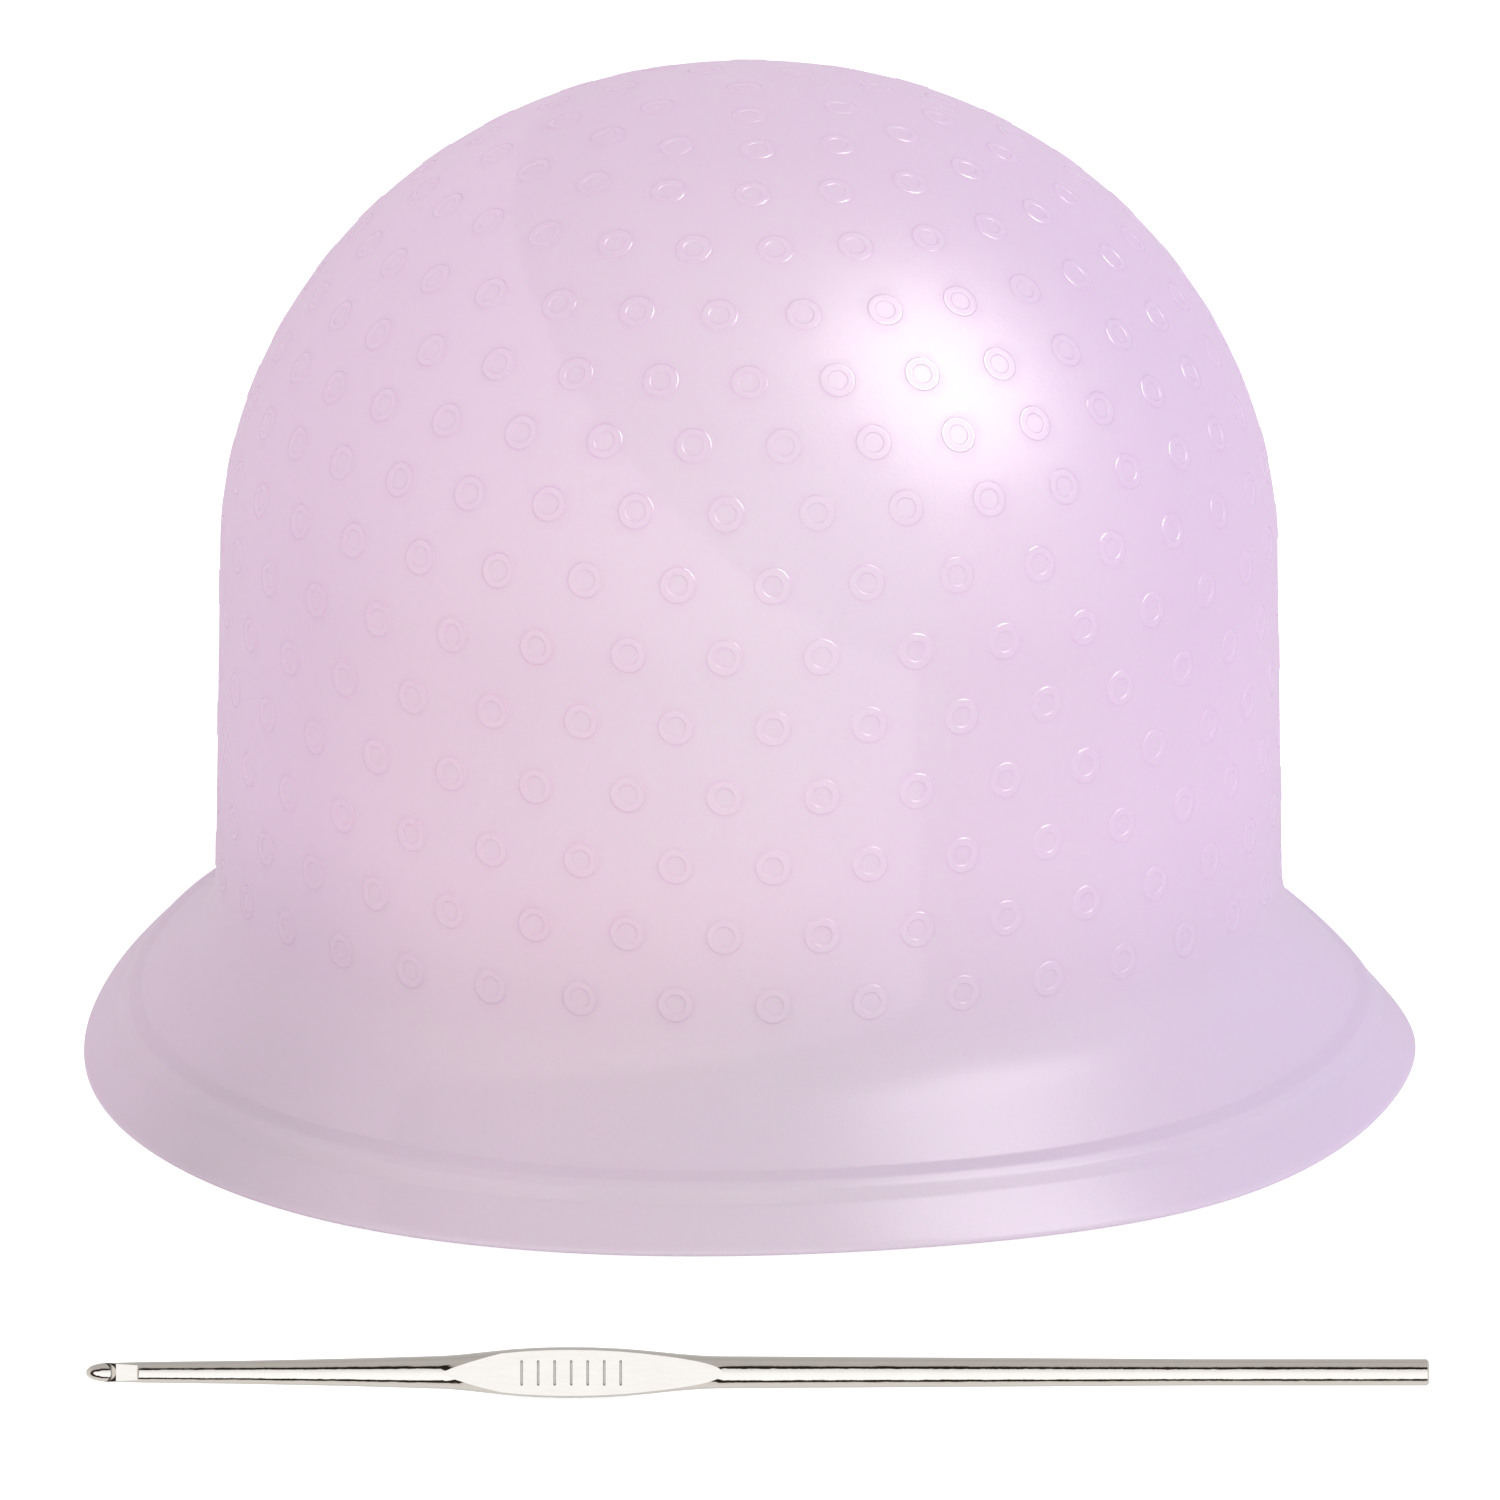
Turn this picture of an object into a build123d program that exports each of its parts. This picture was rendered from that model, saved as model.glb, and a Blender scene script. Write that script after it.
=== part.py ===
from build123d import *
import os
from math import cos, pi, radians, sin, sqrt

# A hair highlighting cap: a one-piece silicone cap shell that stands on its
# brim, and the loose steel hook that pulls strands through its ring marks.
# Frame: millimetres, +Z up, origin at the middle of the brim's resting plane.
# The front of the cap looks along -Y, and the hook lies in front of it.

# Cap shell, driving dimensions
CAP_HEIGHT = 175.1
WALL_RADIUS = 91.4
WALL_TOP = 91.8
WALL_TAPER = 0.029
WALL_THICKNESS = 1.2
DOME_SPREAD = 2.10
DOME_LIFT = 1.91
DOME_POINTS = 9

# Brim, driving dimensions
BRIM_RADIUS = 116.4
BRIM_TILT = 41.2
FLARE_TOP = 35.0
FLARE_RADIUS = 20.0
EDGE_NOSE = 0.8
RIB_FROM_EDGE = 11.8
RIB_WIDTH = 6.6
RIB_RISE = 0.7

# Hook, driving dimensions, measured from the tip along the hook
HOOK_LENGTH = 211.6
HEAD_NOSE = ((0.30, 0.64), (1.10, 1.14), (2.10, 1.38))
HEAD_AT = 3.6
HEAD_RADIUS = 1.5
NECK_AT = 9.0
NECK_RADIUS = 1.65
SHANK_MIDDLE = (33.0, 2.0)
GRIP_START = (56.0, 2.60)
GRIP_START_SLOPE = 0.05
GRIP_SWELL = ((66.5, 3.60), (76.5, 4.0), (86.5, 3.60))
GRIP_END = (100.5, 2.55)
GRIP_END_SLOPE = -0.005
GRIP_THICKNESS = 3.4
GRIP_RUN_OUT = 9.5
DIE_GAP = 0.02
HANDLE_FROM = 175.0
HANDLE_RADIUS = 2.1
BUTT_CHAMFER = 0.3

# Hook throat, driving dimensions
THROAT_LIP_AT = 5.0
THROAT_FLOOR_AT = 2.6
THROAT_FLOOR_OFFSET = 0.1
THROAT_BED = (4.8, 0.75)
THROAT_BED_END = (8.2, 1.15)
THROAT_FILLET = 0.25

# Stamped grip lines on the thumb rest
LINE_COUNT = 7
LINE_PITCH = 2.6
LINE_LENGTH = 4.0
LINE_WIDTH = 0.4
LINE_DEPTH = 0.2

# How far a cutting tool stands clear of what it cuts
CLEAR = 1.0

# Where the hook lies
HOOK_SHIFT = 1.35
HOOK_FRONT = 174.0
HOOK_ROLL = 73.0
TABLE_GAP = 0.05


def dome_points(radius, rise):
    """Points of the dome's profile, from the top of the wall to the apex."""
    points = []
    for step in range(DOME_POINTS + 1):
        turn = pi / 2 * step / DOME_POINTS
        r = radius * max(cos(turn), 0.0) ** (2 / DOME_SPREAD)
        z = WALL_TOP + rise * sin(turn) ** (2 / DOME_LIFT)
        points.append((r, z))
    points[-1] = (0.0, WALL_TOP + rise)
    return points


def wall_foot(inset):
    """The point where the tapered wall runs into the flare."""
    return (WALL_RADIUS + WALL_TAPER * (WALL_TOP - FLARE_TOP) - inset, FLARE_TOP)


def flare_end(inset):
    """The point where the flare's arc runs into the straight slant of the brim."""
    foot = wall_foot(inset)
    tilt = radians(BRIM_TILT)
    bend = FLARE_RADIUS + inset
    return (foot[0] + bend * (1 - cos(tilt)), foot[1] - bend * sin(tilt))


def slant_point(distance, lift):
    """A point on the brim's upper face, from the edge's nose inward along the slant."""
    start = (BRIM_RADIUS, EDGE_NOSE)
    end = flare_end(0)
    length = sqrt((end[0] - start[0]) ** 2 + (end[1] - start[1]) ** 2)
    along = ((end[0] - start[0]) / length, (end[1] - start[1]) / length)
    outward = (along[1], -along[0])
    return (
        start[0] + along[0] * distance + outward[0] * lift,
        start[1] + along[1] * distance + outward[1] * lift,
    )


def flare_arc(inset):
    """The flare's concave arc, for the outer face (no inset) or the inner face."""
    foot = wall_foot(inset)
    half = radians(BRIM_TILT / 2)
    bend = FLARE_RADIUS + inset
    middle = (foot[0] + bend * (1 - cos(half)), foot[1] - bend * sin(half))
    return ThreePointArc(foot, middle, flare_end(inset))


def make_cap_shell():
    """The silicone moulding: dome, straight wall, flared brim and its stiffening rib."""
    tilt = radians(BRIM_TILT)
    inner_dome = dome_points(WALL_RADIUS - WALL_THICKNESS, CAP_HEIGHT - WALL_TOP - WALL_THICKNESS)
    outer_dome = dome_points(WALL_RADIUS, CAP_HEIGHT - WALL_TOP)
    rib_outer = slant_point(RIB_FROM_EDGE - RIB_WIDTH / 2, 0)
    rib_top = slant_point(RIB_FROM_EDGE, RIB_RISE)
    rib_inner = slant_point(RIB_FROM_EDGE + RIB_WIDTH / 2, 0)
    inner_end = flare_end(WALL_THICKNESS)
    edge_inner = (inner_end[0] + inner_end[1] * sin(tilt) / cos(tilt), 0)
    with BuildPart() as shell:
        with BuildSketch(Plane.XZ):
            with BuildLine():
                Spline(*outer_dome, tangents=((-WALL_TAPER, 1), (-1, 0)))
                Line(outer_dome[0], wall_foot(0))
                flare_arc(0)
                Line(flare_end(0), rib_inner)
                ThreePointArc(rib_inner, rib_top, rib_outer)
                Polyline(rib_outer, (BRIM_RADIUS, EDGE_NOSE), (BRIM_RADIUS, 0), edge_inner, inner_end)
                flare_arc(WALL_THICKNESS)
                Line(wall_foot(WALL_THICKNESS), inner_dome[0])
                Spline(*inner_dome, tangents=((-WALL_TAPER, 1), (-1, 0)))
                Line(inner_dome[-1], outer_dome[-1])
            make_face()
        revolve(axis=Axis.Z)
    return shell.part


def hook_blank():
    """The round hook before pressing and cutting, from its tip at x = 0 along +X."""
    neck_slope = (NECK_RADIUS - HEAD_RADIUS) / (NECK_AT - HEAD_AT)
    grip_slopes = ((1, GRIP_START_SLOPE), (1, GRIP_END_SLOPE))
    with BuildPart() as blank:
        with BuildSketch(Plane.XY):
            with BuildLine():
                Spline((0, 0), *HEAD_NOSE, (HEAD_AT, HEAD_RADIUS), tangents=((0, 1), (1, neck_slope)))
                Line((HEAD_AT, HEAD_RADIUS), (NECK_AT, NECK_RADIUS))
                Spline((NECK_AT, NECK_RADIUS), SHANK_MIDDLE, GRIP_START)
                Spline(GRIP_START, *GRIP_SWELL, GRIP_END, tangents=grip_slopes)
                Polyline(
                    GRIP_END,
                    (HANDLE_FROM, HANDLE_RADIUS),
                    (HOOK_LENGTH - BUTT_CHAMFER, HANDLE_RADIUS),
                    (HOOK_LENGTH, HANDLE_RADIUS - BUTT_CHAMFER),
                    (HOOK_LENGTH, 0),
                    (0, 0),
                )
            make_face()
        revolve(axis=Axis.X)
    return blank.part


def pressed_side(sign):
    """What the dies press away on one side of the grip, to leave a flat thumb rest."""
    low = sign * GRIP_THICKNESS / 2
    top = GRIP_SWELL[1][1] + CLEAR
    start = (GRIP_START[0], sign * (GRIP_START[1] + DIE_GAP))
    end = (GRIP_END[0], sign * (GRIP_END[1] + DIE_GAP))
    run_in = (GRIP_START[0] + GRIP_RUN_OUT, low)
    run_out = (GRIP_END[0] - GRIP_RUN_OUT, low)
    with BuildPart() as pressing:
        with BuildSketch(Plane.XZ):
            with BuildLine():
                TangentArc(run_in, start, tangent=(1, 0), tangent_from_first=False)
                Line(run_in, run_out)
                TangentArc(run_out, end, tangent=(1, 0))
                Polyline(end, (end[0], sign * top), (start[0], sign * top), start)
            make_face()
        extrude(amount=top, both=True)
    return pressing.part


def throat():
    """The slanted notch behind the head, and the shallow bed shaved from it to the neck."""
    above = NECK_RADIUS + CLEAR
    with BuildPart() as notch:
        with BuildSketch(Plane.XZ) as outline:
            with BuildLine():
                Polyline(
                    (THROAT_LIP_AT, above),
                    (THROAT_FLOOR_AT, -THROAT_FLOOR_OFFSET),
                    THROAT_BED,
                    THROAT_BED_END,
                    (NECK_AT, above),
                    close=True,
                )
            make_face()
            fillet(outline.vertices().sort_by(Axis.Z)[0], THROAT_FILLET)
        extrude(amount=above, both=True)
    return notch.part


def stamped_lines():
    """A row of short shallow lines stamped across the middle of the thumb rest."""
    face = GRIP_THICKNESS / 2
    with BuildPart() as stamps:
        with BuildSketch(Plane.XY.offset(face - LINE_DEPTH)):
            with Locations((GRIP_SWELL[1][0], 0)):
                with GridLocations(LINE_PITCH, 0, LINE_COUNT, 1):
                    SlotOverall(LINE_LENGTH, LINE_WIDTH, rotation=90)
        extrude(amount=LINE_DEPTH + CLEAR)
    return stamps.part


def make_hook():
    """The one-piece steel hook, laid in front of the cap on the edge of its thumb rest."""
    hook = hook_blank() - pressed_side(1) - pressed_side(-1) - throat() - stamped_lines()
    rest_height = GRIP_SWELL[1][1] + TABLE_GAP
    tip = (HOOK_SHIFT - HOOK_LENGTH / 2, -HOOK_FRONT, rest_height)
    return Location(tip) * Rot(HOOK_ROLL, 0, 0) * hook


PIECES = {
    "cap_shell": make_cap_shell(),
    "hook": make_hook(),
}

os.makedirs("parts", exist_ok=True)
for node, solid in PIECES.items():
    solid.label = node
    export_step(solid, os.path.join("parts", node + ".step"))
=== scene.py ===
import bpy
import math
import numpy as np
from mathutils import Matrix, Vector, kdtree
from mathutils.geometry import delaunay_2d_cdt


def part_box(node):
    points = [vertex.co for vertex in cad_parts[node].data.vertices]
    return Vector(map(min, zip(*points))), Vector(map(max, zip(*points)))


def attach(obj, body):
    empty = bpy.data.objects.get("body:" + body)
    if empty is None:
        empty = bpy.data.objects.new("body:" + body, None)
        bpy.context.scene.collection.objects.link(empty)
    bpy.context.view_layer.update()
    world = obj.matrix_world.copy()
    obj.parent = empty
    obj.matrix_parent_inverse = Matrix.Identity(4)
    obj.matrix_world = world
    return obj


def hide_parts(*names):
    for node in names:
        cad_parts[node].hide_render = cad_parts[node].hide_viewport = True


# A silicone highlighting cap standing on its brim, with its steel hook in front of it.
# Shapes are worked out in millimetres and degrees. Materials, lamps and the floor are in metres.

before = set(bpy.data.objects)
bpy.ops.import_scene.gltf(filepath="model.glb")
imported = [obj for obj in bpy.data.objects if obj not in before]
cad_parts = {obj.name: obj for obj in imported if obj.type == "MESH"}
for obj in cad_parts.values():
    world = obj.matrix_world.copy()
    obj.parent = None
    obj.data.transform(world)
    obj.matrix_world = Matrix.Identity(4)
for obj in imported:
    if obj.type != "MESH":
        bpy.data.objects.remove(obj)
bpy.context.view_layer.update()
MM = 0.001
cap_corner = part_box("cap_shell")[1]
BRIM_RADIUS = cap_corner.x / MM
CAP_HEIGHT = cap_corner.z / MM

# The cap's outer profile
WALL_RADIUS = 0.7852 * BRIM_RADIUS
WALL_TOP = 0.5243 * CAP_HEIGHT
WALL_TAPER = 0.029
DOME_SPREAD = 2.10
DOME_LIFT = 1.91
FLARE_TOP = 35.0
FLARE_RADIUS = 20.0
SKIN = 1.2
DOME_STEPS = 1500
WALL_STEPS = 500
FLARE_STEPS = 300
TILT_GUESS = 40.0
TILT_ROUNDS = 30
CHART_CORE = 5.0
TINY = 1e-6

# The ring marks: radius from a mark's centre, height of the surface there, and nearness to a lip
MARK_LOOPS = (
    (1.60, 0.0, 0.1),
    (1.78, 0.12, 0.6),
    (1.98, 0.13, 0.25),
    (2.65, 0.13, 0.25),
    (2.90, 0.12, 1.0),
    (3.10, 0.0, 0.3),
)
MARK_SIDES = 22
MARK_MARGIN = 3.9

# Rows of marks: up the wall from the lowest one, whose distance from the apex is given, and then each
# row of the crown as its distance from the apex, its number of marks and its first azimuth
WALL_ROWS = 8
WALL_ROW_MARKS = 36
WALL_ROW_FIRST = 190.8
WALL_ROW_PITCH = 11.83
WALL_ROW_TURN = 2.5
CROWN_ROWS = (
    (96.7, 34, 4.1),
    (85.6, 32, 0.0),
    (73.2, 30, -4.2),
    (59.8, 26, -9.4),
    (46.7, 20, 0.7),
    (34.0, 15, 2.5),
    (22.0, 8, 0.0),
    (9.0, 3, -5.0),
)

# The brim and its rib
RIB_FROM_EDGE = 11.8
RIB_WIDTH = 6.8
RIB_CREST = 1.5
RIB_RISE = 0.75
RIB_MARGIN = 0.3

# The soft brim's waves: how high its edge stands at each azimuth, from the front by way of +X
WAVE_HEIGHTS = (
    (0, 3.2), (13, 3.5), (27, 2.6), (43, 0.9), (60, 1.6), (73, 3.2), (82, 3.9),
    (90, 2.2), (102, 1.0), (110, 1.9), (120, 5.2), (130, 9.4), (145, 11.0), (180, 11.0),
    (225, 12.0), (240, 9.6), (255, 4.6), (268, 1.6), (285, 0.4), (318, 0.1), (340, 1.7),
)
WAVE_SOFTENING = 7
WAVE_ROUNDS = 3
WAVE_SPREAD = 0.2
WAVE_REACH = 36

# The skin's mesh
SKIN_SPACING = 2.3
SKIN_FIRST = 0.8
LINING_SPACING = 4.6
LINING_FIRST = 1.0
LAST_ROW_GAP = 0.6
BORDER_DROP = 3.0
BRIM_COLUMNS = 288
BRIM_ROWS = 11
RIB_ROWS = 24
EDGE_ROWS = 9
NOSE_STEPS = 6
BRIM_LINING_ROWS = 14
JOIN_TOLERANCE = 1e-7

# The silicone's colour from face on to edge on, and what it is multiplied by: painted light and shade
# from -X to +X, painted shade that fades from the brim up, its faint clouds, and painted shade at a
# mark's lips
FACING_TINT = (
    (0.0, (0.945, 0.780, 0.905)),
    (0.45, (0.890, 0.710, 0.875)),
    (0.8, (0.893, 0.688, 0.886)),
    (1.0, (0.890, 0.670, 0.895)),
)
# Painted light and shade: dimmer and warmer toward -X, a violet cast toward +X
SIDE_PAINTED_LIGHT = (
    (0.0, (0.985, 0.955, 0.955)),
    (0.13, (0.972, 0.948, 0.946)),
    (0.5, (1.0, 1.0, 0.985)),
    (1.0, (0.985, 0.965, 1.035)),
)
# Painted shade: darker and greyer toward the brim's foot, fading out higher up
BRIM_PAINTED_SHADE = (
    (0.0, (0.845, 0.92, 0.865)),
    (0.45, (0.86, 0.92, 0.875)),
    (1.0, (1.0, 1.0, 1.0)),
)
CLOUD_TINT = (
    (0.3, (0.985, 0.975, 0.985)),
    (0.7, (1.0, 1.0, 1.0)),
)
# Painted shade along the lips of each ring mark, faint across its raised band
MARK_LIP_SHADE = (
    (0.05, (1.0, 1.0, 1.0)),
    (0.25, (0.99, 0.98, 0.99)),
    (0.6, (0.965, 0.94, 0.97)),
    (1.0, (0.93, 0.88, 0.95)),
)
# How much of the painted shade at the marks' lips shows, from -X to +X: most on the shaded -X side
MARK_LIP_SHADE_SHARE = ((0.4, 1.0), (0.6, 0.45))
# How far the painted light and shade across and up the cap reach
TINT_HALF_WIDTH = 0.1
BRIM_TINT_TOP = 0.06
# Soft patches on the silicone, first a warmer, lighter one, then three of painted shade: centre, reach,
# factor at the centre and factor half way out
SHADE_AND_WARM_PATCHES = (
    ((-0.034, -0.086, 0.072), 0.06, (1.055, 1.015, 0.975), (1.03, 1.01, 0.985)),
    ((0.068, -0.035, 0.135), 0.06, (0.935, 0.945, 0.965), (0.965, 0.97, 0.98)),
    ((0.005, -0.095, 0.034), 0.055, (0.935, 0.95, 0.95), (0.97, 0.975, 0.975)),
    ((-0.095, -0.07, 0.0), 0.065, (0.85, 0.865, 0.845), (0.95, 0.95, 0.945)),
)

# The silicone's finish: gloss and roughness from the brim up, how both change at a mark's lips, how
# deep light goes into the skin, and its fine grain
GLOSS = ((0.4, 0.17), (1.0, 0.5))
LIP_GLOSS = ((0.05, 1.0), (0.2, 0.74), (0.5, 1.0), (1.0, 1.1))
LIP_POLISH = ((0.3, 1.0), (0.6, 0.6))
BRIM_ROUGHNESS = 0.28
DOME_ROUGHNESS = 0.39
SILICONE_IOR = 1.41
LIGHT_DEPTH = 0.0015
LIGHT_DEPTH_BY_COLOUR = (1.0, 0.75, 1.0)
CLOUD_SCALE = 11.0
CLOUD_DETAIL = 3.0
GRAIN_SCALE = 1400.0
GRAIN_DETAIL = 2.0
GRAIN_STRENGTH = 0.12
RELIEF = 0.0002

# The steel: its plate, the shade painted into its hollows such as the stamps, and the fine lines of the
# drawn wire
PLATE_TINT = (
    (0.35, (0.83, 0.80, 0.77)),
    (0.65, (0.85, 0.825, 0.80)),
)
PLATE_SCALE = 320.0
PLATE_DETAIL = 4.0
PLATE_SMOOTHEST = 0.04
PLATE_ROUGHEST = 0.10
# Painted shade in hollows, taken from how closely the steel is enclosed
RECESS_SHADE = (
    (0.45, (0.10, 0.09, 0.08)),
    (0.88, (1.0, 1.0, 1.0)),
)
RECESS_SHADE_REACH = 0.0008
RECESS_SHADE_SAMPLES = 8
DRAWN_STRETCH = (0.35, 1.0, 1.0)
DRAWN_SCALE = 1100.0
DRAWN_DETAIL = 3.0
DRAWN_STRENGTH = 0.16

# The camera, in front of the object and a little above it
CAMERA_DISTANCE = 1600.0
CAMERA_ELEVATION = 16.43
CAMERA_LOOK_HEIGHT = 0.3141 * CAP_HEIGHT
CAMERA_LOOK_ASIDE = 0.2
FRAME_WIDTH = 1.1225 * 2 * BRIM_RADIUS
SENSOR = 36.0
CAMERA_REACH = 50  # in metres

# The floor, and how strongly it glows in its own right and as the camera sees it
FLOOR_HALF_SIDE = 12.0
FLOOR_GREY = 0.55
FLOOR_ROUGHNESS = 0.9
FLOOR_GLOW = 0.25
FLOOR_GLOW_SEEN = 0.9

# The room's soft light, from -X to +X and from the level up to the zenith
ROOM_STRENGTH = 1.39
ROOM_SIDES = (
    (0.0, (0.87, 0.85, 0.85)),
    (1.0, (1.02, 1.03, 1.07)),
)
ROOM_RISE = (
    (0.0, (1.0, 1.0, 1.0)),
    (1.0, (0.45, 0.45, 0.45)),
)
BACKDROP_STRENGTH = 1.05

# What shiny surfaces mirror, from straight behind the object to straight in front and a little above
# level, and how much dimmer it is from underfoot to overhead
MIRROR_ELEVATION = 3.0
MIRROR_BANDS = (
    (0.0, (0.62, 0.60, 0.58)),
    (0.45, (0.80, 0.77, 0.73)),
    (0.70, (0.76, 0.72, 0.67)),
    (0.745, (0.03, 0.02, 0.015)),
    (0.86, (0.03, 0.02, 0.015)),
    (0.88, (1.25, 1.24, 1.22)),
    (1.0, (1.25, 1.25, 1.25)),
)
MIRROR_RISE = (
    (0.2, (1.0, 1.0, 1.0)),
    (0.6, (0.92, 0.92, 0.92)),
    (0.9, (0.66, 0.66, 0.66)),
)

# The key lamp, up on the right, in two parts: what shows as a glint and what lights the skin
KEY_AZIMUTH = 61
KEY_ELEVATION = 47.5
KEY_DISTANCE = 0.95
KEY_AIM_HEIGHT = 0.6 * CAP_HEIGHT
KEY_WIDTH = 0.54
KEY_LENGTH = 0.64
KEY_COLOUR = (1.0, 0.99, 0.98)
GLINT_POWER = 20.8
WASH_POWER = 1.8


def smooth(low, high, value):
    """0 below low, 1 above high, and a soft step between."""
    t = np.clip((value - low) / (high - low), 0, 1)
    return t * t * (3 - 2 * t)


class Profile:
    """The cap's outer face as radius, height and normal against the distance s from the apex."""

    def __init__(self):
        turn = np.linspace(math.pi / 2, 0, DOME_STEPS)
        rise = CAP_HEIGHT - WALL_TOP
        radius = WALL_RADIUS * np.maximum(np.cos(turn), 0) ** (2 / DOME_SPREAD)
        height = WALL_TOP + rise * np.sin(turn) ** (2 / DOME_LIFT)
        wall = np.linspace(WALL_TOP, FLARE_TOP, WALL_STEPS)[1:]
        radius = np.append(radius, WALL_RADIUS + WALL_TAPER * (WALL_TOP - wall))
        height = np.append(height, wall)
        foot = radius[-1]
        edge = (BRIM_RADIUS - SKIN / 2, SKIN / 2)
        tilt = self.slant_tilt(foot, edge)
        end = (edge[0] + SKIN / 2 * math.cos(tilt), edge[1] + SKIN / 2 * math.sin(tilt))
        bend = np.linspace(0, tilt, FLARE_STEPS)[1:]
        radius = np.append(radius, foot + FLARE_RADIUS * (1 - np.cos(bend)))
        height = np.append(height, FLARE_TOP - FLARE_RADIUS * np.sin(bend))
        slant = np.linspace(0, 1, FLARE_STEPS)[1:]
        radius = np.append(radius, radius[-1] + (end[0] - radius[-1]) * slant)
        height = np.append(height, height[-1] + (end[1] - height[-1]) * slant)
        step = np.hypot(np.diff(radius), np.diff(height))
        self.s = np.append(0, np.cumsum(step))
        self.radius = radius
        self.height = height
        along_r = np.gradient(radius, self.s)
        along_z = np.gradient(height, self.s)
        length = np.hypot(along_r, along_z)
        self.normal_r = -along_z / length
        self.normal_z = along_r / length
        self.end = self.s[-1]
        growth = step / np.maximum((radius[1:] + radius[:-1]) / 2, TINY)
        near = np.searchsorted(self.s, CHART_CORE)
        growth[:near] = 0
        self.chart = np.minimum(self.s, self.s[near]) * np.exp(np.append(0, np.cumsum(growth)))

    def slant_tilt(self, foot, edge):
        """The slant's angle from upright, so that it leaves the flare without a kink."""
        tilt = math.radians(TILT_GUESS)
        for _ in range(TILT_ROUNDS):
            start_r = foot + FLARE_RADIUS * (1 - math.cos(tilt))
            start_z = FLARE_TOP - FLARE_RADIUS * math.sin(tilt)
            end_r = edge[0] + SKIN / 2 * math.cos(tilt)
            end_z = edge[1] + SKIN / 2 * math.sin(tilt)
            tilt = math.atan2(end_r - start_r, start_z - end_z)
        return tilt

    def at(self, s, lift=0.0):
        """Radius and height at distance s, lifted along the normal."""
        s = np.clip(s, 0, self.end)
        radius = np.interp(s, self.s, self.radius) + lift * np.interp(s, self.s, self.normal_r)
        height = np.interp(s, self.s, self.height) + lift * np.interp(s, self.s, self.normal_z)
        return radius, height

    def flat(self, s, turn):
        """Points of an angle-true flat chart of the surface, for joining points into triangles."""
        rho = np.interp(s, self.s, self.chart)
        return rho * np.cos(turn), rho * np.sin(turn)


profile = Profile()


def softened_wave():
    """The brim's edge height at every degree, rounded off between the given heights."""
    degrees = np.arange(360)
    known = np.array(WAVE_HEIGHTS, dtype=float)
    heights = np.interp(degrees, known[:, 0], known[:, 1], period=360)
    for _ in range(WAVE_ROUNDS):
        heights = sum(np.roll(heights, k) for k in range(-WAVE_SOFTENING, WAVE_SOFTENING + 1))
        heights = heights / (2 * WAVE_SOFTENING + 1)
    return heights


EDGE_WAVE = softened_wave()


def brim_lift(turn):
    """How far the soft brim's edge stands above its resting plane at an azimuth."""
    return np.interp(np.degrees(turn), np.arange(360), EDGE_WAVE, period=360)


def place(s, turn, lift):
    """Positions in metres of points at distance s and azimuth turn, lifted off the face."""
    radius, height = profile.at(s, lift)
    share = smooth(profile.end - WAVE_REACH, profile.end, s)
    wave = share * brim_lift(turn)
    radius = radius + wave * WAVE_SPREAD
    height = height + wave
    points = np.stack([radius * np.sin(turn), -radius * np.cos(turn), height], axis=1)
    return points * MM


def full_turn(count):
    """Angles spread evenly round a full turn, in radians."""
    return np.arange(count) * 2 * math.pi / count


def mark_centres():
    """Distance from the apex and azimuth of each ring mark's centre."""
    centres = []
    for row in range(WALL_ROWS):
        s = WALL_ROW_FIRST - row * WALL_ROW_PITCH
        start = WALL_ROW_TURN if row % 2 == 0 else -WALL_ROW_TURN
        centres += [(s, start + 360 * k / WALL_ROW_MARKS) for k in range(WALL_ROW_MARKS)]
    for s, count, start in CROWN_ROWS:
        centres += [(s, start + 360 * k / count) for k in range(count)]
    centres = np.array(centres)
    return centres[:, 0], np.radians(centres[:, 1])


def skin_rows(start, border, spacing):
    """Points spread evenly over the face in staggered rows, ending just short of the border."""
    end = border - spacing * LAST_ROW_GAP
    rows = max(int(round((end - start) / spacing)), 1)
    out_s = []
    out_turn = []
    for row in range(rows):
        s = start + (end - start) * row / rows
        count = max(int(round(2 * math.pi * profile.at(s)[0] / spacing)), 1)
        out_s.append(np.full(count, s))
        out_turn.append((np.arange(count) + 0.5 * (row % 2)) * 2 * math.pi / count)
    return np.concatenate(out_s), np.concatenate(out_turn)


def triangles(s, turn):
    """Joins the points into triangles over the flat chart."""
    x, y = profile.flat(s, turn)
    flat_points = [Vector((float(a), float(b))) for a, b in zip(x, y)]
    _, _, faces, origin, _, _ = delaunay_2d_cdt(flat_points, [], [], 0, JOIN_TOLERANCE)
    index = [ids[0] for ids in origin]
    return np.array([[index[i] for i in face] for face in faces if len(face) == 3])


class SkinPoints:
    """Points of the skin: distance, azimuth, lift, nearness to a lip, and the number of its loop."""

    def __init__(self):
        self.blocks = []

    def add(self, s, turn, lift=0.0, lip=0.0, loop=0):
        """Adds a block of points. A single value holds for every point of the block."""
        self.blocks.append(np.stack(np.broadcast_arrays(np.atleast_1d(s), turn, lift, lip, loop)))

    def values(self):
        return np.concatenate(self.blocks, axis=1)


def add_mark(skin, s0, turn0):
    """One raised double ring round its centre point, as loops that stay round on the curved face."""
    angle = full_turn(MARK_SIDES)
    slope = (profile.at(s0 + 1)[0] - profile.at(max(s0 - 1, 0))[0]) / 2
    skin.add(s0, turn0)
    for q, lift, lip in MARK_LOOPS:
        across = q * np.cos(angle)
        along = q * np.sin(angle)
        s = s0 + along + across ** 2 * slope / (2 * profile.at(s0)[0])
        turn = turn0 + across / profile.at(s0 + along)[0]
        skin.add(s, turn, lift, lip, len(skin.blocks))


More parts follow.
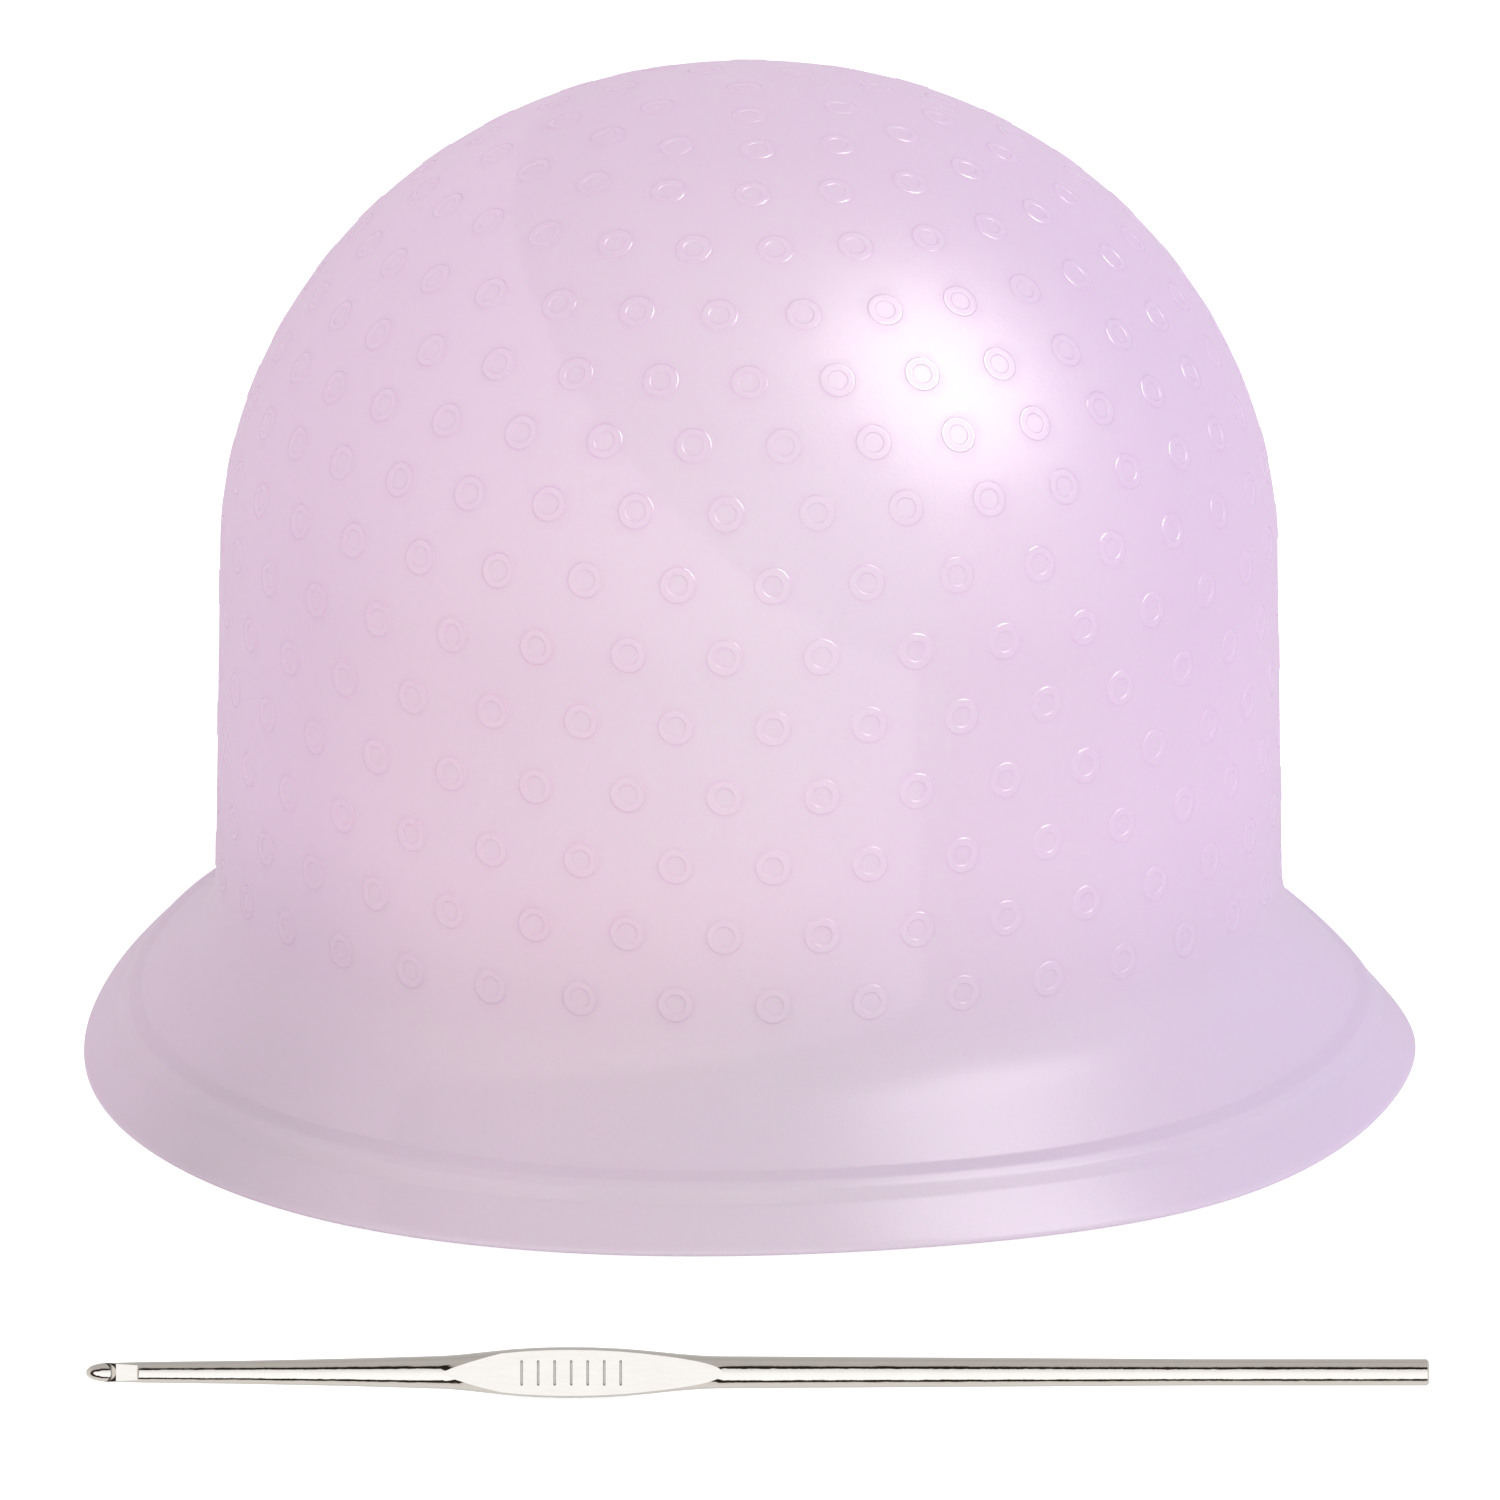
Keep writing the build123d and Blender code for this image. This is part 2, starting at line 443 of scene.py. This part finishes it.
def marked_skin(border):
    """The dome and wall with their ring marks, down to the border's distance from the apex."""
    centre_s, centre_turn = mark_centres()
    tree = kdtree.KDTree(len(centre_s))
    for i, point in enumerate(place(centre_s, centre_turn, 0.0)):
        tree.insert(point, i)
    tree.balance()
    s, turn = skin_rows(SKIN_FIRST, border, SKIN_SPACING)
    clear = np.array([tree.find(p)[2] > MARK_MARGIN * MM for p in place(s, turn, 0.0)])
    skin = SkinPoints()
    skin.add(s[clear], turn[clear])
    for s0, turn0 in zip(centre_s, centre_turn):
        add_mark(skin, s0, turn0)
    skin.add(np.full(BRIM_COLUMNS, border), full_turn(BRIM_COLUMNS))
    s, turn, lift, lip, loop = skin.values()
    return s, turn, lift, lip, loop, triangles(s, turn)


def lining(border):
    """The plain inside face of the dome and wall."""
    s, turn = skin_rows(LINING_FIRST, border, LINING_SPACING)
    s = np.append(s, np.full(BRIM_COLUMNS, border))
    turn = np.append(turn, full_turn(BRIM_COLUMNS))
    return s, turn, triangles(s, turn)[:, ::-1]


def rib_rise(s):
    """Height of the stiffening rib above the slant: straight sloping sides and a flat crest."""
    away = np.abs(s - (profile.end - RIB_FROM_EDGE))
    return RIB_RISE * np.clip((RIB_WIDTH / 2 - away) / (RIB_WIDTH / 2 - RIB_CREST / 2), 0, 1)


def brim_sections(border):
    """(s, lift, nose angle) of each row of the brim, round the edge and back to the lining's border."""
    rib_at = profile.end - RIB_FROM_EDGE
    half = RIB_WIDTH / 2 + RIB_MARGIN
    outer = np.concatenate([
        np.linspace(border, rib_at - half, BRIM_ROWS)[1:],
        np.linspace(rib_at - half, rib_at + half, RIB_ROWS)[1:],
        np.linspace(rib_at + half, profile.end, EDGE_ROWS)[1:],
    ])
    rows = [(s, float(rib_rise(s)), 0.0) for s in outer]
    rows += [(profile.end, 0.0, math.pi * step / NOSE_STEPS) for step in range(1, NOSE_STEPS + 1)]
    rows += [(s, -SKIN, 0.0) for s in np.linspace(profile.end, border, BRIM_LINING_ROWS)[1:-1]]
    return rows


def brim_row(s, lift, nose):
    """Positions of one row of the brim. A nose angle carries the row round the edge."""
    turn = full_turn(BRIM_COLUMNS)
    points = place(np.full(BRIM_COLUMNS, s), turn, lift)
    if nose:
        normal = (float(profile.normal_r[-1]), float(profile.normal_z[-1]))
        outward = (normal[1], -normal[0])
        drop = -SKIN / 2 * (1 - math.cos(nose))
        swell = SKIN / 2 * math.sin(nose)
        shift_r = normal[0] * drop + outward[0] * swell
        shift_z = normal[1] * drop + outward[1] * swell
        points[:, 0] += shift_r * np.sin(turn) * MM
        points[:, 1] += -shift_r * np.cos(turn) * MM
        points[:, 2] += shift_z * MM
    return points


def add_object(name, data):
    made = bpy.data.objects.new(name, data)
    bpy.context.scene.collection.objects.link(made)
    return made


def crisp_marks(mesh, loops):
    """Marks the edges that run round each ring mark as sharp, so its thin moulded lips stay crisp."""
    ends = np.empty(len(mesh.edges) * 2, dtype=np.int32)
    mesh.edges.foreach_get("vertices", ends)
    ends = ends.reshape(-1, 2)
    loop_of = np.zeros(len(mesh.vertices))
    loop_of[:len(loops)] = loops
    same = (loop_of[ends[:, 0]] == loop_of[ends[:, 1]]) & (loop_of[ends[:, 0]] > 0)
    sharp = mesh.attributes.new("sharp_edge", "BOOLEAN", "EDGE")
    sharp.data.foreach_set("value", same)


def build_cap():
    """One closed skin: the marked outer face, the brim round its edge, and the lining."""
    border = profile.s[np.searchsorted(-profile.height, -FLARE_TOP)] + BORDER_DROP
    s, turn, lift, lip, loops, faces = marked_skin(border)
    brim = [brim_row(*section) for section in brim_sections(border)]
    lining_s, lining_turn, lining_faces = lining(border)
    verts = np.concatenate([place(s, turn, lift), *brim, place(lining_s, lining_turn, -SKIN)])
    lining_start = len(verts) - len(lining_s)
    row_starts = list(range(len(s) - BRIM_COLUMNS, lining_start, BRIM_COLUMNS))
    row_starts.append(len(verts) - BRIM_COLUMNS)
    column = np.arange(BRIM_COLUMNS)
    after = (column + 1) % BRIM_COLUMNS
    blocks = [faces, lining_faces + lining_start]
    for row, below in zip(row_starts, row_starts[1:]):
        blocks.append(np.stack([row + column, below + column, below + after, row + after], axis=1))
    mesh = bpy.data.meshes.new("silicone_cap")
    mesh.from_pydata(verts.tolist(), [], [face for block in blocks for face in block.tolist()])
    lips = np.zeros(len(verts), dtype=np.float32)
    lips[:len(lip)] = lip
    mark = mesh.attributes.new("mark", "FLOAT", "POINT")
    mark.data.foreach_set("value", lips)
    mesh.validate()
    mesh.update()
    crisp_marks(mesh, loops)
    for polygon in mesh.polygons:
        polygon.use_smooth = True
    return add_object("silicone_cap", mesh)


def new_material(name):
    material = bpy.data.materials.new(name)
    material.use_nodes = True
    tree = material.node_tree
    tree.nodes.clear()
    return material, tree


def node(tree, kind, **values):
    """A new node. Each value goes to the input of that name, or else to the node's own setting."""
    made = tree.nodes.new(kind)
    for key, value in values.items():
        if key in made.inputs:
            made.inputs[key].default_value = value
        else:
            setattr(made, key, value)
    return made


def grey(value):
    return (value, value, value)


def ramp(tree, source, stops):
    """A colour looked up from a value."""
    made = tree.nodes.new("ShaderNodeValToRGB")
    elements = made.color_ramp.elements
    while len(elements) < len(stops):
        elements.new(0.5)
    for element, (position, colour) in zip(elements, stops):
        element.position = position
        element.color = (*colour, 1)
    tree.links.new(source, made.inputs["Fac"])
    return made.outputs["Color"]


def grey_ramp(tree, source, stops):
    """A factor looked up from a value."""
    return ramp(tree, source, [(position, grey(value)) for position, value in stops])


def spread(tree, source, **limits):
    """A value stretched from one range, by default 0 to 1, to another."""
    names = {key.replace("_", " ").title(): value for key, value in limits.items()}
    made = node(tree, "ShaderNodeMapRange", **names)
    tree.links.new(source, made.inputs["Value"])
    return made.outputs["Result"]


def times(tree, colour, factor):
    """One colour multiplied by another."""
    made = node(tree, "ShaderNodeMix", data_type="RGBA", blend_type="MULTIPLY", Factor=1.0)
    tree.links.new(colour, made.inputs["A"])
    tree.links.new(factor, made.inputs["B"])
    return made.outputs["Result"]


def noise(tree, place_in, scale, detail):
    made = node(tree, "ShaderNodeTexNoise", Scale=scale, Detail=detail)
    tree.links.new(place_in, made.inputs["Vector"])
    return made.outputs["Fac"]


def bumped(tree, surface, height, strength):
    """Gives a surface the fine relief of a height pattern."""
    bump = node(tree, "ShaderNodeBump", Strength=strength, Distance=RELIEF)
    tree.links.new(height, bump.inputs["Height"])
    tree.links.new(bump.outputs["Normal"], surface.inputs["Normal"])


def patch(tree, place_in, centre, reach, middle, half_way):
    """A soft round patch of colour that fades to nothing at its reach."""
    away = node(tree, "ShaderNodeVectorMath", operation="DISTANCE")
    away.inputs[1].default_value = centre
    tree.links.new(place_in, away.inputs[0])
    share = spread(tree, away.outputs["Value"], from_min=0.0, from_max=reach)
    return ramp(tree, share, ((0.0, middle), (0.5, half_way), (1.0, grey(1.0))))


def silicone_colour(tree, place_in, across, height, mark):
    """Lilac, deeper in tint edge on, with faint clouds, a warmer patch, and painted light and shade:
    side to side, in soft patches, toward the brim and at the marks' lips.
    """
    facing = node(tree, "ShaderNodeLayerWeight", Blend=0.5).outputs["Facing"]
    colour = ramp(tree, facing, FACING_TINT)
    # Painted light and shade from side to side
    colour = times(tree, colour, ramp(tree, across, SIDE_PAINTED_LIGHT))
    # A warmer patch, then three patches of painted shade
    for centre, reach, middle, half_way in SHADE_AND_WARM_PATCHES:
        colour = times(tree, colour, patch(tree, place_in, centre, reach, middle, half_way))
    cloud = noise(tree, place_in, CLOUD_SCALE, CLOUD_DETAIL)
    colour = times(tree, colour, ramp(tree, cloud, CLOUD_TINT))
    # Painted shade toward the brim
    colour = times(tree, colour, ramp(tree, height, BRIM_PAINTED_SHADE))
    # Painted shade at the marks' lips, strongest on the -X side
    share = grey_ramp(tree, across, MARK_LIP_SHADE_SHARE)
    return times(tree, colour, ramp(tree, times(tree, mark, share), MARK_LIP_SHADE))


def silicone_material():
    """Milky lilac silicone: translucent, satin, finely grained, with less gloss on the brim."""
    material, tree = new_material("lilac_silicone")
    link = tree.links.new
    out = node(tree, "ShaderNodeOutputMaterial")
    surface = node(tree, "ShaderNodeBsdfPrincipled", IOR=SILICONE_IOR)
    place_in = node(tree, "ShaderNodeTexCoord").outputs["Object"]
    axes = node(tree, "ShaderNodeSeparateXYZ")
    link(place_in, axes.inputs[0])
    across = spread(tree, axes.outputs["X"], from_min=-TINT_HALF_WIDTH, from_max=TINT_HALF_WIDTH)
    height = spread(tree, axes.outputs["Z"], from_min=0.0, from_max=BRIM_TINT_TOP)
    mark = node(tree, "ShaderNodeAttribute", attribute_name="mark").outputs["Fac"]
    link(silicone_colour(tree, place_in, across, height, mark), surface.inputs["Base Color"])

    gloss = times(tree, grey_ramp(tree, height, GLOSS), grey_ramp(tree, mark, LIP_GLOSS))
    link(gloss, surface.inputs["Specular IOR Level"])
    finish = node(tree, "ShaderNodeMath", operation="MULTIPLY")
    link(spread(tree, height, to_min=BRIM_ROUGHNESS, to_max=DOME_ROUGHNESS), finish.inputs[0])
    link(grey_ramp(tree, mark, LIP_POLISH), finish.inputs[1])
    link(finish.outputs[0], surface.inputs["Roughness"])

    surface.inputs["Subsurface Weight"].default_value = 1.0
    surface.inputs["Subsurface Radius"].default_value = LIGHT_DEPTH_BY_COLOUR
    surface.inputs["Subsurface Scale"].default_value = LIGHT_DEPTH
    bumped(tree, surface, noise(tree, place_in, GRAIN_SCALE, GRAIN_DETAIL), GRAIN_STRENGTH)
    link(surface.outputs["BSDF"], out.inputs["Surface"])
    return material


def steel_material():
    """Bright nickel plate, uneven along the drawn wire, with painted shade darkening its hollows such
    as the stamps.
    """
    material, tree = new_material("nickel_plate")
    link = tree.links.new
    out = node(tree, "ShaderNodeOutputMaterial")
    surface = node(tree, "ShaderNodeBsdfPrincipled", Metallic=1.0)
    place_in = node(tree, "ShaderNodeTexCoord").outputs["Object"]
    cloud = noise(tree, place_in, PLATE_SCALE, PLATE_DETAIL)
    # Painted shade where the steel is enclosed: the stamps and the hook's throat
    hollow = node(tree, "ShaderNodeAmbientOcclusion", samples=RECESS_SHADE_SAMPLES, Distance=RECESS_SHADE_REACH)
    recess_shade = ramp(tree, hollow.outputs["AO"], RECESS_SHADE)
    link(times(tree, ramp(tree, cloud, PLATE_TINT), recess_shade), surface.inputs["Base Color"])
    roughness = spread(tree, cloud, to_min=PLATE_SMOOTHEST, to_max=PLATE_ROUGHEST)
    link(roughness, surface.inputs["Roughness"])
    along = node(tree, "ShaderNodeMapping", Scale=DRAWN_STRETCH)
    link(place_in, along.inputs["Vector"])
    drawn = noise(tree, along.outputs["Vector"], DRAWN_SCALE, DRAWN_DETAIL)
    bumped(tree, surface, drawn, DRAWN_STRENGTH)
    link(surface.outputs["BSDF"], out.inputs["Surface"])
    return material


def build_floor():
    """A wide sheet of white paper, which glows so that it shows as plain white round the object."""
    side = FLOOR_HALF_SIDE
    mesh = bpy.data.meshes.new("floor")
    corners = [(-side, -side, 0), (side, -side, 0), (side, side, 0), (-side, side, 0)]
    mesh.from_pydata(corners, [], [(0, 1, 2, 3)])
    material, tree = new_material("studio_white")
    out = node(tree, "ShaderNodeOutputMaterial")
    paper = node(tree, "ShaderNodeBsdfPrincipled", Roughness=FLOOR_ROUGHNESS)
    paper.inputs["Base Color"].default_value = (*grey(FLOOR_GREY), 1)
    paper.inputs["Emission Color"].default_value = (1, 1, 1, 1)
    seen = node(tree, "ShaderNodeLightPath").outputs["Is Camera Ray"]
    glow = spread(tree, seen, to_min=FLOOR_GLOW, to_max=FLOOR_GLOW_SEEN)
    tree.links.new(glow, paper.inputs["Emission Strength"])
    tree.links.new(paper.outputs["BSDF"], out.inputs["Surface"])
    mesh.materials.append(material)
    floor = add_object("floor", mesh)
    floor.visible_glossy = False


def key_lamp(name, power):
    """A rectangular lamp up on the right that faces the cap."""
    light = bpy.data.lights.new(name, "AREA")
    light.shape = "RECTANGLE"
    light.size = KEY_WIDTH
    light.size_y = KEY_LENGTH
    light.energy = power
    light.color = KEY_COLOUR
    lamp = add_object(name, light)
    azimuth = math.radians(KEY_AZIMUTH)
    elevation = math.radians(KEY_ELEVATION)
    level = math.cos(elevation)
    toward = Vector((math.sin(azimuth) * level, -math.cos(azimuth) * level, math.sin(elevation)))
    lamp.location = Vector((0, 0, KEY_AIM_HEIGHT * MM)) + toward * KEY_DISTANCE
    lamp.rotation_mode = "QUATERNION"
    lamp.rotation_quaternion = toward.to_track_quat("Z", "Y")
    return lamp


def room_light(tree, axes):
    """What lights the object: soft and nearly even, a little dimmer and warmer from the left."""
    side = spread(tree, axes.outputs["X"], from_min=-1.0, from_max=1.0)
    room = ramp(tree, side, ROOM_SIDES)
    rise = ramp(tree, axes.outputs["Z"], ROOM_RISE)
    soft = node(tree, "ShaderNodeBackground", Strength=ROOM_STRENGTH)
    tree.links.new(times(tree, room, rise), soft.inputs["Color"])
    return soft.outputs[0]


def mirrored_room(tree, direction, axes):
    """What shiny surfaces mirror: white screens with a dark gap between them."""
    elevation = math.radians(MIRROR_ELEVATION)
    toward = node(tree, "ShaderNodeVectorMath", operation="DOT_PRODUCT")
    toward.inputs[1].default_value = (0, -math.cos(elevation), math.sin(elevation))
    tree.links.new(direction, toward.inputs[0])
    angle = spread(tree, toward.outputs["Value"], from_min=-1.0, from_max=1.0)
    level = spread(tree, axes.outputs["Z"], from_min=-1.0, from_max=1.0)
    mirror = node(tree, "ShaderNodeBackground")
    colour = times(tree, ramp(tree, angle, MIRROR_BANDS), ramp(tree, level, MIRROR_RISE))
    tree.links.new(colour, mirror.inputs["Color"])
    return mirror.outputs[0]


def build_world():
    """A white studio that lights, mirrors and shows as its backdrop each in its own way."""
    world = bpy.data.worlds.new("studio")
    bpy.context.scene.world = world
    world.use_nodes = True
    tree = world.node_tree
    tree.nodes.clear()
    link = tree.links.new
    out = node(tree, "ShaderNodeOutputWorld")
    direction = node(tree, "ShaderNodeTexCoord").outputs["Generated"]
    axes = node(tree, "ShaderNodeSeparateXYZ")
    link(direction, axes.inputs[0])
    backdrop = node(tree, "ShaderNodeBackground", Color=(1, 1, 1, 1), Strength=BACKDROP_STRENGTH)
    path = node(tree, "ShaderNodeLightPath")
    lit = node(tree, "ShaderNodeMixShader")
    link(path.outputs["Is Glossy Ray"], lit.inputs["Fac"])
    link(room_light(tree, axes), lit.inputs[1])
    link(mirrored_room(tree, direction, axes), lit.inputs[2])
    final = node(tree, "ShaderNodeMixShader")
    link(path.outputs["Is Camera Ray"], final.inputs["Fac"])
    link(lit.outputs[0], final.inputs[1])
    link(backdrop.outputs[0], final.inputs[2])
    link(final.outputs[0], out.inputs["Surface"])


def build_lights():
    build_world()
    key_lamp("key_glint", GLINT_POWER).visible_diffuse = False
    key_lamp("key_wash", WASH_POWER).visible_glossy = False


def build_camera():
    """The camera, straight in front of the object and tilted down at it."""
    data = bpy.data.cameras.new("camera")
    data.sensor_width = SENSOR
    data.lens = SENSOR * CAMERA_DISTANCE / FRAME_WIDTH
    data.clip_end = CAMERA_REACH
    camera = add_object("camera", data)
    elevation = math.radians(CAMERA_ELEVATION)
    back = Vector((0, -math.cos(elevation), math.sin(elevation)))
    look = Vector((CAMERA_LOOK_ASIDE, 0, CAMERA_LOOK_HEIGHT))
    camera.location = (look + back * CAMERA_DISTANCE) * MM
    camera.rotation_euler = (math.pi / 2 - elevation, 0, 0)
    bpy.context.scene.camera = camera


cap = build_cap()
cap.data.materials.append(silicone_material())
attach(cap, "cap")
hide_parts("cap_shell")
# The hook's plate mirrors the white studio alone
cap.visible_glossy = False
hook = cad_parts["hook"]
hook.data.materials.clear()
hook.data.materials.append(steel_material())
build_floor()
build_lights()
build_camera()
bpy.context.scene.view_settings.view_transform = "Standard"
